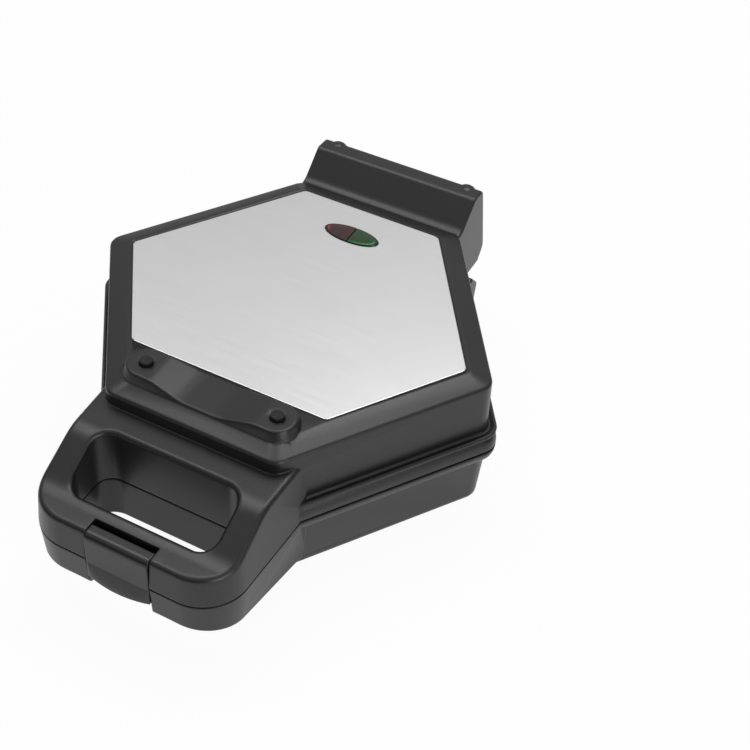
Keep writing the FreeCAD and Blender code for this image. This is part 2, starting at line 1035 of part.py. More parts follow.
def heating_element(sign):
    """Tube under the plate's rim with its two cold ends turned down at the back."""
    z = -plate_seat - element_radius
    loop = rounded(casing_hexagon(element_inset), element_corner, plan(z))
    radius = element_radius
    start = Vector(0, element_inset - lip_front, z)
    sketch = Part.Wire([Part.Circle(start, X_AXIS, radius).toShape()])
    tube = loop_from(loop, start).makePipeShell([sketch], True, False)
    back = lip_back - element_inset
    tube = tube.cut(box(
        -element_end_x, element_end_x, back - 2 * radius, back + 2 * radius,
        z - 2 * radius, z + 2 * radius,
    ))
    ends = []
    for s in (-1, 1):
        corner = Vector(s * element_end_x, back, z)
        ends.append(Part.makeSphere(radius, corner))
        ends.append(rod(radius, element_drop, corner, -Z_AXIS))
        pin = Vector(corner.x, corner.y, z - element_drop)
        ends.append(rod(element_pin_radius, element_pin_length, pin, -Z_AXIS))
    solid = tube.fuse(ends).removeSplitter()
    return flipped(solid) if sign > 0 else solid


def loop_from(wire, start):
    """The same closed wire, begun half way along its front edge."""
    edges = wire.OrderedEdges
    front = [i for i, e in enumerate(edges) if (middle_of(e) - start).Length < overrun][0]
    a, b = edges[front].Vertexes[0].Point, edges[front].Vertexes[1].Point
    before = edges[front - 1]
    ends = [v.Point for v in before.Vertexes]
    if min((p - a).Length for p in ends) > min((p - b).Length for p in ends):
        a, b = b, a
    ordered = [Part.makeLine(start, b)]
    ordered += edges[front + 1:] + edges[:front]
    ordered.append(Part.makeLine(a, start))
    return Part.Wire(ordered)


# Finished pieces of the base
def lower_housing():
    solid = bowl_outside().fuse([grip_outside(-1), heel_outside()])
    hollow = [
        bowl_inside(), grip_inside(-1), heel_inside(), cover_pocket(-1),
        plate_blank(plate_clearance, -plate_seat, overrun), slot_box(-1),
    ]
    solid = solid.cut(hollow)
    catch = box(
        -slot_half_width, slot_half_width, -latch_notch_back - catch_depth,
        -latch_notch_back, -catch_drop - catch_thickness, -catch_drop,
    )
    solid = solid.fuse([catch] + shield_posts(-1, -bowl_floor))
    wire_way = box(
        -element_end_x, element_end_x, lip_back - underside_inset - bowl_foot_inset - wall,
        lip_back + wall, bowl_floor, heel_top() - wall,
    )
    inlet = on_heel_back(
        rod(inlet_stem_radius, wall + 2 * overrun, -(wall + overrun) * Y_AXIS, Y_AXIS),
        inlet_height,
    )
    tools = [wire_way, inlet, plate_pilots(-1)] + shield_pilots(-1)
    tools += [
        pilot(x, y, -cover_level(), screw_length + overrun) for x, y in cover_screws()
    ]
    tools += [
        rod(foot_stem_radius, floor + 2 * overrun, Vector(x, y, -bowl_depth - overrun))
        for x, y in foot_places()
    ]
    tools += [
        pilot(x, y, bowl_floor + overrun, clamp_screw_sink + overrun)
        for x, y in clamp_screw_places()
    ]
    return solid.cut(tools).removeSplitter()


def foot_places():
    rear_x = heel_half_width - foot_rear_inset
    return pair_x([(foot_front_x, foot_front_y), (rear_x, foot_rear_y)])


def base_feet():
    """Rubber feet pushed through the floor, each held by a barb inside."""
    feet = []
    for x, y in foot_places():
        disc = rod(foot_radius, foot_height, Vector(x, y, -parting_height))
        rim = edges_where(disc, lambda e: middle_of(e).z < -parting_height + foot_height / 2)
        disc = disc.makeFillet(foot_round, rim[:1])
        stem = rod(foot_stem_radius, floor, Vector(x, y, -bowl_depth))
        barb = Part.makeCone(
            foot_stem_radius + foot_barb, foot_stem_radius - foot_barb, 2 * foot_barb,
            Vector(x, y, bowl_floor),
        )
        feet.append(disc.fuse([stem, barb]).removeSplitter())
    return Part.makeCompound(feet)


def cord_inlet_bush():
    """Rubber bush in the heel's back wall where the supply cord would enter."""
    stem = rod(inlet_stem_radius, wall + inlet_flange, -wall * Y_AXIS, Y_AXIS)
    flange = rod(inlet_radius, inlet_flange, ORIGIN, Y_AXIS)
    bore = rod(inlet_bore, wall + inlet_flange + 2 * overrun, -(wall + overrun) * Y_AXIS, Y_AXIS)
    return on_heel_back(stem.fuse(flange).cut(bore), inlet_height)


def clamp_screw_places():
    return pair_x([(clamp_screw_x, clamp_y)])


def cord_clamp():
    bar = box(
        -clamp_length / 2, clamp_length / 2, clamp_y - clamp_width / 2, clamp_y + clamp_width / 2,
        bowl_floor, bowl_floor + clamp_height,
    )
    tools = [
        rod(inlet_bore, 2 * clamp_width, Vector(0, clamp_y - clamp_width, bowl_floor), Y_AXIS)
    ]
    tools += [
        screw_hole(x, y, clamp_head_seat, 1, 2 * overrun) for x, y in clamp_screw_places()
    ]
    return bar.cut(tools)


def clamp_screws():
    """Short screws, cut off inside the floor."""
    low = bowl_floor - clamp_screw_sink
    solids = []
    for x, y in clamp_screw_places():
        body = screw(x, y, clamp_head_seat, 1)
        solids.append(body.common(box(
            x - overrun, x + overrun, y - overrun, y + overrun, low, clamp_head_seat + overrun
        )))
    return Part.makeCompound(solids)


def terminal_block():
    block = box(
        -terminal_length / 2, terminal_length / 2, terminal_y - terminal_width / 2,
        terminal_y + terminal_width / 2, bowl_floor, bowl_floor + terminal_height,
    )
    pitch = terminal_length / terminal_count
    level = bowl_floor + terminal_bore_height
    tools = []
    for k in range(terminal_count):
        x = (k - (terminal_count - 1) / 2.0) * pitch
        start = Vector(x, terminal_y - terminal_width, level)
        tools.append(rod(terminal_bore, 2 * terminal_width, start, Y_AXIS))
        tools.append(rod(terminal_bore, terminal_height, Vector(x, terminal_y, level)))
    return block.cut(tools)


def hinge_pin():
    end = knuckle_reach + knuckle_gap
    shank = rod(hinge_pin_radius, 2 * end, Vector(-end, hinge_y, 0), X_AXIS)
    heads = [
        rod(pin_head_radius, pin_head_height, Vector(s * end, hinge_y, 0), s * X_AXIS)
        for s in (-1, 1)
    ]
    return shank.fuse(heads).removeSplitter()


# Finished pieces of the lid
def panel_recess(grow):
    return hexagon(
        lip_half_width - (panel_side_inset - grow) / math.sin(slant),
        lip_front - panel_front_inset + grow, lip_back - panel_back_inset + grow,
    )


def top_panel():
    solid = prism(panel_recess(0), panel_corner, lid_height - panel_thickness, lid_height)
    return solid.cut(lens_way(overrun))


def lens_way(reach):
    """Opening for the lamp lenses, reaching above and below the panel."""
    return ellipse_face(
        lens_half_length + lens_clearance, lens_half_width + lens_clearance,
        Vector(0, lens_y, lid_height - reach),
    ).extrude(Vector(0, 0, 2 * reach))


def lens_body():
    stem = ellipse_face(
        lens_half_length, lens_half_width, Vector(0, lens_y, lid_ceiling)
    ).extrude(Vector(0, 0, lid_height + lens_rise - lid_ceiling))
    crown = edges_where(stem, lambda e: middle_of(e).z > lid_height)
    stem = stem.makeFillet(lens_crown, crown[:1])
    flange = ellipse_face(
        lens_half_length + lens_flange, lens_half_width + lens_flange,
        Vector(0, lens_y, lid_ceiling - lens_flange),
    ).extrude(Vector(0, 0, lens_flange))
    return stem.fuse(flange).removeSplitter()


def lens_half(sign):
    reach = lens_half_length + 2 * overrun
    gap = lens_split / 2.0
    x0, x1 = (gap, reach) if sign > 0 else (-reach, -gap)
    keep = box(x0, x1, lens_y - reach, lens_y + reach, 0, lid_height + overrun)
    return lens_body().common(keep)


def lamp_level():
    return lid_ceiling - lens_flange


def lamp_holder():
    """Tray clipped under the lenses, with a cradle for each lamp."""
    high = lamp_level()
    depth = 2 * (lamp_radius + lamp_wall)
    half = lens_half_length + lens_flange
    outer = box(
        -half, half, lens_y - lens_half_width, lens_y + lens_half_width, high - depth, high
    )
    room = box(
        -half + lamp_wall, half - lamp_wall, lens_y - lens_half_width + lamp_wall,
        lens_y + lens_half_width - lamp_wall, high - depth + lamp_wall, high + overrun,
    )
    middle = box(
        -lamp_wall / 2, lamp_wall / 2, lens_y - lens_half_width + lamp_wall,
        lens_y + lens_half_width - lamp_wall, high - depth + lamp_wall, high - lamp_wall,
    )
    return outer.cut(room).fuse(middle).removeSplitter()


def neon_lamps():
    z = lamp_level() - 2 * (lamp_radius + lamp_wall) + lamp_wall + lamp_radius
    lamps = []
    for s in (-1, 1):
        start = s * 2 * lamp_wall
        tube = rod(lamp_radius, lamp_length - lamp_radius, Vector(start, lens_y, z), s * X_AXIS)
        tip = Part.makeSphere(
            lamp_radius, Vector(start + s * (lamp_length - lamp_radius), lens_y, z)
        )
        lamps.append(tube.fuse(tip).removeSplitter())
    return Part.makeCompound(lamps)


def saddle_outline(radius, z):
    half_length = stud_x + radius
    half_depth = radius + saddle_flat
    points = [
        (half_length, stud_y - half_depth), (-half_length, stud_y - half_depth),
        (-half_length, stud_y + half_depth), (half_length, stud_y + half_depth),
    ]
    return rounded(points, radius, plan(z))


def saddle_front_view():
    """Outline of the bridge seen from the front, dipping between the two bosses."""
    low = lid_height - saddle_skirt - overrun
    dip = lid_height + scoop_left
    reach = stud_x + saddle_radius + overrun
    depth = saddle_radius + overrun
    points = [
        (-reach, low), (-reach, saddle_top), (-scoop_half_width, saddle_top),
        (-scoop_floor_half, dip), (scoop_floor_half, dip), (scoop_half_width, saddle_top),
        (reach, saddle_top), (reach, low),
    ]
    brow, hollow = scoop_brow_round, scoop_floor_round
    radii = [0, 0, brow, hollow, hollow, brow, 0, 0]
    face = Part.Face(rounded(points, radii, lambda a, b: Vector(a, stud_y - depth, b)))
    return face.extrude(Vector(0, 2 * depth, 0))


def saddle():
    """Raised bridge between the two stud bosses, scooped in the middle."""
    skirt = Part.Face(saddle_outline(saddle_radius, lid_height - saddle_skirt))
    skirt = skirt.extrude(Vector(0, 0, saddle_skirt))
    pad = Part.makeLoft([
        saddle_outline(saddle_radius, lid_height),
        saddle_outline(saddle_radius - saddle_draft, saddle_top + near),
    ], True, True)
    pad = skirt.fuse(pad).common(saddle_front_view())
    rim = edges_where(
        pad,
        lambda e: middle_of(e).z > lid_height + scoop_left / 2.0
        and min(v.Z for v in e.Vertexes) > lid_height + scoop_left / 2.0
        and (abs(middle_of(e).y - stud_y) > saddle_radius / 2.0 or abs(middle_of(e).x) > stud_x),
    )
    return pad.makeFillet(saddle_edge_round, rim)


def stud_dishes():
    """Shallow round dishes that the studs stand in."""
    radius = (dish_radius ** 2 + dish_depth ** 2) / (2.0 * dish_depth)
    z = saddle_top - dish_depth + radius
    return [Part.makeSphere(radius, Vector(x, y, z)) for x, y in stud_places()]


def stud_places():
    return pair_x([(stud_x, stud_y)])


def lid_studs():
    """Rubber studs that the closed appliance can be stood or stacked on."""
    studs = []
    low = lid_height - wall
    for x, y in stud_places():
        stem = rod(stud_stem_radius, saddle_top - low, Vector(x, y, low))
        cap = rod(stud_radius, stud_rise + stud_sink, Vector(x, y, saddle_top - stud_sink))
        crown = edges_where(cap, lambda e: middle_of(e).z > saddle_top + stud_rise / 2)
        cap = cap.makeFillet(stud_round, crown[:1])
        studs.append(stem.fuse(cap).removeSplitter())
    return Part.makeCompound(studs)


def upper_housing():
    solid = lid_outside().fuse([grip_outside(1), hump_outside(), lid_shelf(), saddle()])
    hollow = [
        lid_inside(), grip_inside(1), hump_hollow(), cover_pocket(1),
        flipped(plate_blank(plate_clearance, -plate_seat, overrun)), slot_box(1),
        prism(
            panel_recess(panel_gap), panel_corner, lid_height - panel_thickness,
            lid_height + overrun,
        ),
        lens_way(lid_height / 2),
    ]
    solid = solid.cut(hollow + stud_dishes())
    solid = solid.fuse(shield_posts(1, lid_ceiling))
    tools = [plate_pilots(1)] + shield_pilots(1)
    depth = screw_length + overrun
    tools += [pilot(x, y, cover_level() + depth, depth) for x, y in cover_screws()]
    tools += [pilot(x, y, seam + depth, depth) for x, y in hinge_cover_screw_places()]
    low = lid_height - overrun
    seat = saddle_top - stud_sink
    for x, y in stud_places():
        tools.append(rod(stud_stem_radius, saddle_top - low, Vector(x, y, low)))
        tools.append(rod(stud_radius + cover_clearance, overrun, Vector(x, y, seat)))
    tools.append(latch_pin_bore())
    tools.append(wire_hole())
    return solid.cut(tools).removeSplitter()


def wire_hole():
    """Way for the lamp and heater wires from the lid into the hump."""
    low = plate_seat + shelf_depth + wall
    return box(
        -element_end_x, element_end_x, tab_root, lip_back + wall, low, low + element_end_x
    )


def hump_hollow():
    """Room for the knuckles, less the plate shelf and the cover's bosses."""
    bosses = [
        rod(screw_boss, hump_level, Vector(x, y, hinge_cover_level()))
        for x, y in hinge_cover_screw_places()
    ]
    return hump_inside().cut([lid_shelf()] + bosses)


def hinge_cover_level():
    return hinge_cover_rise + cover_thickness


def hinge_cover_screw_places():
    return pair_x([(hump_half_width - hinge_cover_screw_inset, hinge_cover_screw_y)])


def hinge_cover():
    """Plate under the hump, cut out round the knuckles."""
    half = hump_half_width - wall - cover_clearance
    front = heel_step + cover_clearance
    back = hump_tail - wall - cover_clearance
    low = hinge_cover_rise
    high = hinge_cover_level()
    points = [(half, front), (half, back), (-half, back), (-half, front)]
    solid = prism(points, [0, least_corner, least_corner, 0], low, high)
    room_half = knuckle_reach + 2 * knuckle_gap + pin_head_height
    room_back = hinge_y + knuckle_radius + hinge_cover_gap
    tools = [box(
        -room_half, room_half, front - overrun, room_back, low - overrun, high + overrun
    )]
    tools += [
        screw_hole(x, y, low + hinge_head_seat, -1, overrun)
        for x, y in hinge_cover_screw_places()
    ]
    return solid.cut(tools)


def hinge_cover_screws():
    z = hinge_cover_rise + hinge_head_seat
    return Part.makeCompound([screw(x, y, z, -1) for x, y in hinge_cover_screw_places()])


def latch_pin_bore():
    half = slot_half_width + wall
    return rod(
        latch_pin_radius, 2 * half, Vector(-half, -latch_pin_y, latch_pin_z), X_AXIS
    )


def latch_pin():
    half = slot_half_width + wall - cover_clearance
    return rod(
        latch_pin_radius, 2 * half, Vector(-half, -latch_pin_y, latch_pin_z), X_AXIS
    )


def latch():
    """Flap with a bent top, an eye on the pin, a nib and a flared finger lip."""
    top = grip_top_front
    t = latch_thickness
    front = -grip_front
    points = [
        (-latch_back, top), (front, top), (front, -latch_reach), (front + t, -latch_reach),
        (front + t, top - t), (-latch_back, top - t),
    ]
    bend = latch_bend
    plate = across(points, [latch_edge_round, bend, 0, 0, bend - t, 0], latch_half_width)
    eye = rod(
        latch_eye_radius, 2 * latch_half_width,
        Vector(-latch_half_width, -latch_pin_y, latch_pin_z), X_AXIS,
    )
    catch_front = -latch_notch_back - catch_depth
    nib_top = -catch_drop - catch_thickness - catch_gap
    nib = box(
        -latch_half_width, latch_half_width, front + t / 2, catch_front - catch_gap,
        nib_top - catch_thickness, nib_top,
    )
    solid = plate.fuse([eye, nib, finger_lip()]).removeSplitter()
    bore = rod(
        latch_pin_radius + running_clearance, 2 * latch_half_width + 2 * overrun,
        Vector(-latch_half_width - overrun, -latch_pin_y, latch_pin_z), X_AXIS,
    )
    return solid.cut(bore)


def finger_lip():
    """Lower edge of the latch swept forward in a shallow arc."""
    front = -grip_front
    half = latch_half_width
    arc = Part.Arc(
        Vector(half, front, 0), Vector(0, front - latch_lip, 0), Vector(-half, front, 0)
    ).toShape()
    inner = [
        Vector(-half, front, 0), Vector(-half, front + latch_thickness, 0),
        Vector(half, front + latch_thickness, 0), Vector(half, front, 0),
    ]
    lines = [Part.makeLine(inner[k], inner[k + 1]) for k in range(len(inner) - 1)]
    face = Part.Face(Part.Wire([arc] + lines))
    disc = face.extrude(Vector(0, 0, latch_reach))
    disc.translate(Vector(0, 0, -latch_reach))
    wedge_points = [
        (front + latch_thickness, -latch_lip_start),
        (front, -latch_lip_start),
        (front - latch_lip, latch_lip - latch_reach),
        (front - latch_lip, -latch_reach),
        (front + latch_thickness, -latch_reach),
    ]
    return disc.common(across(wedge_points, 0, half))


def thermostat():
    foot = Vector(thermostat_x, thermostat_y, shield_depth + shield_thickness)
    body = rod(thermostat_radius, thermostat_height, foot)
    cap = rod(thermostat_cap_radius, thermostat_cap_height, foot + thermostat_height * Z_AXIS)
    return body.fuse(cap).removeSplitter()


def thermal_fuse():
    """Fuse cartridge with the saddle clip that holds it to the shield."""
    base = shield_depth + shield_thickness
    clip = box(
        fuse_x - fuse_clip_length / 2, fuse_x + fuse_clip_length / 2,
        fuse_y - 2 * fuse_radius, fuse_y + 2 * fuse_radius, base, base + fuse_radius,
    )
    start = Vector(fuse_x - fuse_length / 2, fuse_y, base + fuse_radius)
    return rod(fuse_radius, fuse_length, start, X_AXIS).fuse(clip).removeSplitter()


# Standing frame and output
def middle_y():
    """Half way between the latch's lip and the cord bush's flange."""
    back = max(heel_back, cord_inlet_bush().BoundBox.YMax)
    return (back - grip_front - latch_lip) / 2.0


def write(name, shape, shift):
    placed = shape.copy()
    placed.translate(shift)
    placed.exportStep(os.path.join("parts", name + ".step"))


def main():
    os.makedirs("parts", exist_ok=True)
    plate = lower_plate()
    pieces = {
        "lower_housing": lower_housing,
        "lower_handle_cover": lambda: grip_cover(-1),
        "lower_handle_screws": lambda: grip_cover_screws(-1),
        "lower_plate": lambda: plate,
        "lower_plate_screws": lambda: plate_screws(-1),
        "lower_heating_element": lambda: heating_element(-1),
        "lower_heat_shield": lambda: heat_shield(-1),
        "lower_shield_screws": lambda: shield_screws(-1),
        "base_feet": base_feet,
        "cord_inlet_bush": cord_inlet_bush,
        "cord_clamp": cord_clamp,
        "cord_clamp_screws": clamp_screws,
        "terminal_block": terminal_block,
        "hinge_pin": hinge_pin,
        "upper_housing": upper_housing,
        "upper_handle_cover": lambda: grip_cover(1),
        "upper_handle_screws": lambda: grip_cover_screws(1),
        "upper_plate": lambda: turned_over(plate),
        "upper_plate_screws": lambda: plate_screws(1),
        "upper_heating_element": lambda: heating_element(1),
        "upper_heat_shield": lambda: heat_shield(1),
        "upper_shield_screws": lambda: shield_screws(1),
        "top_panel": top_panel,
        "red_lamp_lens": lambda: lens_half(-1),
        "green_lamp_lens": lambda: lens_half(1),
        "lamp_holder": lamp_holder,
        "neon_lamps": neon_lamps,
        "thermostat": thermostat,
        "thermal_fuse": thermal_fuse,
        "lid_studs": lid_studs,
        "hinge_cover": hinge_cover,
        "hinge_cover_screws": hinge_cover_screws,
        "latch_pin": latch_pin,
        "latch": latch,
    }
    shift = Vector(0, -middle_y(), parting_height)
    for name, make in pieces.items():
        write(name, make(), shift)


main()
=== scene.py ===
import json
import math

import bpy
from mathutils import Matrix, Vector


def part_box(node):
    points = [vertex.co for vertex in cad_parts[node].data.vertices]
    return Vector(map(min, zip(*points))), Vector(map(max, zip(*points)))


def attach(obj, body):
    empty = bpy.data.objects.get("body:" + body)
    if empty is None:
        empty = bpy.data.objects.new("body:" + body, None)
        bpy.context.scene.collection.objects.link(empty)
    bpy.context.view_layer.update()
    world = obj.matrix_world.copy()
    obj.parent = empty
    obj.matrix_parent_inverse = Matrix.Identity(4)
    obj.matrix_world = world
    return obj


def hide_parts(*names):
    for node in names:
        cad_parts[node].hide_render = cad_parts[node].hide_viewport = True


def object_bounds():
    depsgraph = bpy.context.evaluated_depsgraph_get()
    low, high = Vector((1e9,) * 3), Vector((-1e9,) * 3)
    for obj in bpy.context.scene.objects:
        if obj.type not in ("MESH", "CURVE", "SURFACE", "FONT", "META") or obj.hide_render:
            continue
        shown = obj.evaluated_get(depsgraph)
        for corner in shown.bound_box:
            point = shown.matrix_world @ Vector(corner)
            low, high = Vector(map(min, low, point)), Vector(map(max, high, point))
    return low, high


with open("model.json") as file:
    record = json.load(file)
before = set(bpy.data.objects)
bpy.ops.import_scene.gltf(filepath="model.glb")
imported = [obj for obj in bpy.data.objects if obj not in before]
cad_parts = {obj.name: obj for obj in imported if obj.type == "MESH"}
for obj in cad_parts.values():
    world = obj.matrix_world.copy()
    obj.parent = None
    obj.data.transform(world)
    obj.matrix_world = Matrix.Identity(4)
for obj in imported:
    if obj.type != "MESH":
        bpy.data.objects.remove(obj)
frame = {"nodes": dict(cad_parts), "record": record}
cad_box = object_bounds()

# The egg waffle pan stands closed, with its hand grip in front, towards -y, and its hinge behind.
# Places are in metres. A value in millimetres has _mm in its name and is multiplied by MM.
MM = 0.001

# Places taken from the frame. Under the lid the lenses have a flange, which no scene piece has.
lens_flange_mm = 1.6
green_low, green_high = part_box("green_lamp_lens")
lens_half_length = green_high[0] - lens_flange_mm * MM
lens_half_width = (green_high[1] - green_low[1]) / 2 - lens_flange_mm * MM
lens_middle_y = (green_low[1] + green_high[1]) / 2
panel_low, panel_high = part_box("top_panel")
panel_middle_y = (panel_low[1] + panel_high[1]) / 2
panel_top = panel_high[2]
object_middle = Vector((0.0, 0.0, (cad_box[0][2] + cad_box[1][2]) / 2))


# Colours and nodes
def linear(hex_text):
    """sRGB hex text to the linear colour that the shaders want."""
    channels = []
    for start in (1, 3, 5):
        value = int(hex_text[start:start + 2], 16) / 255
        channels.append(value / 12.92 if value <= 0.04045 else ((value + 0.055) / 1.055) ** 2.4)
    return (*channels, 1.0)


def add(tree, kind, inputs=None, **settings):
    """Add a node and give back its outputs.

    An input is a plain value, a hex colour, or another node's output, which gets linked.
    """
    node = tree.nodes.new(kind)
    for name, value in settings.items():
        setattr(node, name, value)
    for name, value in (inputs or {}).items():
        if isinstance(value, bpy.types.NodeSocket):
            tree.links.new(value, node.inputs[name])
        else:
            node.inputs[name].default_value = linear(value) if isinstance(value, str) else value
    return node.outputs


def empty_tree(owner):
    """Node tree of a material or a world, with nothing in it."""
    owner.use_nodes = True
    owner.node_tree.nodes.clear()
    return owner.node_tree


def make_material(name, surface, **values):
    """Material whose Principled shader takes the inputs that a surface function works out."""
    material = bpy.data.materials.new(name)
    tree = empty_tree(material)
    place = add(tree, "ShaderNodeTexCoord")["Object"]
    shader = add(tree, "ShaderNodeBsdfPrincipled", surface(tree, place, **values))
    add(tree, "ShaderNodeOutputMaterial", {"Surface": shader["BSDF"]})
    return material


# Most of a noise lies between these two values, and they are stretched over the whole range
# of tones or roughness.
noise_low = 0.3
noise_high = 0.7
edge_samples = 6


def mottled(tree, tone, colours, grain, roughness, relief, depth_mm, edge_mm=0.0):
    """Inputs of a surface whose colour follows one pattern, its sheen and relief another.

    The pattern tone mixes the two colours. The pattern grain runs between the two values of
    roughness and lifts the surface by depth_mm, as strongly as relief says. Where edge_mm is
    given, the shading rounds the mould's edges to that radius.
    """
    share = add(
        tree, "ShaderNodeMapRange",
        {"Value": tone, "From Min": noise_low, "From Max": noise_high, "To Min": 0.0, "To Max": 1.0},
    )["Result"]
    colour = add(
        tree, "ShaderNodeMix", {0: share, 6: colours[0], 7: colours[1]}, data_type="RGBA"
    )[2]
    sheen = add(
        tree, "ShaderNodeMapRange",
        {
            "Value": grain, "From Min": noise_low, "From Max": noise_high,
            "To Min": roughness[0], "To Max": roughness[1],
        },
    )["Result"]
    bump = {"Height": grain, "Strength": relief, "Distance": depth_mm * MM}
    if edge_mm:
        bump["Normal"] = add(
            tree, "ShaderNodeBevel", {"Radius": edge_mm * MM}, samples=edge_samples
        )["Normal"]
    normal = add(tree, "ShaderNodeBump", bump)["Normal"]
    return {"Base Color": colour, "Roughness": sheen, "Normal": normal}


# Plastics and rubber
def moulded_plastic(tree, place, colours, roughness):
    """Injection-moulded ABS or polypropylene with a fine spark-eroded grain.

    The grain breaks up the highlights, and slow drifts in tone come from the flow of the melt.
    """
    drift_mm = 55.0
    grain_mm = 0.9
    sheen_swing = 0.03
    drift = add(
        tree, "ShaderNodeTexNoise",
        {"Vector": place, "Scale": 1 / (drift_mm * MM), "Detail": 2.0},
    )["Fac"]
    grain = add(
        tree, "ShaderNodeTexNoise",
        {"Vector": place, "Scale": 1 / (grain_mm * MM), "Detail": 3.0},
    )["Fac"]
    surface = mottled(
        tree, drift, colours, grain, (roughness - sheen_swing, roughness + sheen_swing),
        relief=0.05, depth_mm=0.04, edge_mm=1.2,
    )
    return {**surface, "IOR": 1.5, "Specular IOR Level": 0.5}


def tinted_lens(tree, place, body, dark_rim, bright_rim, toward, start):
    """Tinted polycarbonate of a lamp lens, dark while its lamp is off.

    The body shows the shaded reflector below it. The rim is darker. A painted highlight, a bright
    line along the rim on the side that toward points to, stands in for light piped by the cut edge.
    The line is the shorter the nearer start is to 1. The line and the rim are placed by shares of
    the lens's half sizes.
    """
    cloud_mm = 4.0
    side_full = 0.95
    line_inner, line_outer = 0.80, 0.85
    rim_inner, rim_outer = 0.87, 0.91
    cloud = add(
        tree, "ShaderNodeTexNoise",
        {"Vector": place, "Scale": 1 / (cloud_mm * MM), "Detail": 2.0},
    )["Fac"]
    surface = mottled(
        tree, cloud, body, cloud, (0.10, 0.16), relief=0.05, depth_mm=0.05,
    )
    unit = add(
        tree, "ShaderNodeMapping",
        {
            "Vector": place,
            "Location": (0.0, -lens_middle_y / lens_half_width, 0.0),
            "Scale": (1 / lens_half_length, 1 / lens_half_width, 0.0),
        },
    )["Vector"]
    radius = add(tree, "ShaderNodeVectorMath", {0: unit}, operation="LENGTH")["Value"]
    side = add(
        tree, "ShaderNodeVectorMath", {0: unit, 1: toward}, operation="DOT_PRODUCT"
    )["Value"]
    lit_side, line, rim = [
        add(
            tree, "ShaderNodeMapRange", {"Value": value, "From Min": low, "From Max": high},
            interpolation_type="SMOOTHSTEP",
        )["Result"]
        for value, low, high in (
            (side, start, side_full), (radius, line_inner, line_outer),
            (radius, rim_inner, rim_outer),
        )
    ]
    # Painted highlight: the bright rim colour is mixed into the base colour along the rim, on the
    # lit side only.
    lit_line = add(tree, "ShaderNodeMath", {0: line, 1: lit_side}, operation="MULTIPLY")[0]
    painted_highlight_mix = add(
        tree, "ShaderNodeMix", {0: lit_line, 6: surface["Base Color"], 7: bright_rim},
        data_type="RGBA",
    )[2]
    colour = add(tree, "ShaderNodeMix", {0: rim, 6: painted_highlight_mix, 7: dark_rim}, data_type="RGBA")[2]
    return {**surface, "Base Color": colour, "IOR": 1.585, "Specular IOR Level": 0.5}


def moulded_rubber(tree, place, colours):
    """Moulded nitrile rubber: matt, slightly dusty and softly uneven."""
    dust_mm = 2.4
    dust = add(
        tree, "ShaderNodeTexNoise",
        {"Vector": place, "Scale": 1 / (dust_mm * MM), "Detail": 4.0},
    )["Fac"]
    surface = mottled(
        tree, dust, colours, dust, (0.62, 0.78), relief=0.1, depth_mm=0.06, edge_mm=0.5
    )
    return {**surface, "IOR": 1.52, "Specular IOR Level": 0.4}


# Metals
def lined_sheet(tree, place, colours, roughness, line_mm, along):
    """Sheet steel with fine lines along one axis, from a brushing belt or the mill's rolls.

    The lines are drawn about three times coarser than the real grit, so that they just show,
    and about eighty times as long as they are wide. Slow clouds in the tone come from uneven
    pressure. along is the number of the axis.
    """
    cloud_mm = 90.0
    sheen_swing = 0.03
    along_scale = 0.012
    stretch = [1.0, 1.0, 1.0]
    stretch[along] = along_scale
    turned = add(tree, "ShaderNodeMapping", {"Vector": place, "Scale": stretch})["Vector"]
    lines = add(
        tree, "ShaderNodeTexNoise",
        {"Vector": turned, "Scale": 1 / (line_mm * MM), "Detail": 4.0},
    )["Fac"]
    clouds = add(
        tree, "ShaderNodeTexNoise",
        {"Vector": place, "Scale": 1 / (cloud_mm * MM), "Detail": 2.0},
    )["Fac"]
    total = add(tree, "ShaderNodeMath", {0: lines, 1: clouds}, operation="ADD")[0]
    tone = add(tree, "ShaderNodeMath", {0: total, 1: 0.5}, operation="MULTIPLY")[0]
    surface = mottled(
        tree, tone, colours, lines, (roughness - sheen_swing, roughness + sheen_swing),
        relief=0.02, depth_mm=0.01,
    )
    return {**surface, "Metallic": 1.0}


def bright_metal(tree, place, colours, roughness, film_mm):
    """Zinc-plated or drawn metal with a cloudy passivated film."""
    sheen_swing = 0.06
    film = add(
        tree, "ShaderNodeTexNoise",
        {"Vector": place, "Scale": 1 / (film_mm * MM), "Detail": 3.0},
    )["Fac"]
    surface = mottled(
        tree, film, colours, film, (roughness - sheen_swing, roughness + sheen_swing),
        relief=0.08, depth_mm=0.02, edge_mm=0.2,
    )
    return {**surface, "Metallic": 1.0}


def non_stick(tree, place, colours):
    """PTFE coating sprayed on cast aluminium: dark grey, soft sheen, faint orange peel."""
    peel_mm = 1.6
    fleck_mm = 0.5
    peel = add(
        tree, "ShaderNodeTexNoise",
        {"Vector": place, "Scale": 1 / (peel_mm * MM), "Detail": 3.0},
    )["Fac"]
    flecks = add(
        tree, "ShaderNodeTexNoise",
        {"Vector": place, "Scale": 1 / (fleck_mm * MM), "Detail": 2.0},
    )["Fac"]
    surface = mottled(
        tree, flecks, colours, peel, (0.34, 0.44), relief=0.1, depth_mm=0.06, edge_mm=0.8
    )
    return {**surface, "Metallic": 0.25, "IOR": 1.38, "Specular IOR Level": 0.6}


# Ceramic and glass
def glazed_ceramic(tree, place, colours):
    """Glazed steatite, off-white with a little cloudiness under the glaze."""
    cloud_mm = 6.0
    cloud = add(
        tree, "ShaderNodeTexNoise",
        {"Vector": place, "Scale": 1 / (cloud_mm * MM), "Detail": 2.0},
    )["Fac"]
    surface = mottled(
        tree, cloud, colours, cloud, (0.2, 0.3), relief=0.05, depth_mm=0.05, edge_mm=0.3
    )
    return {**surface, "IOR": 1.55}


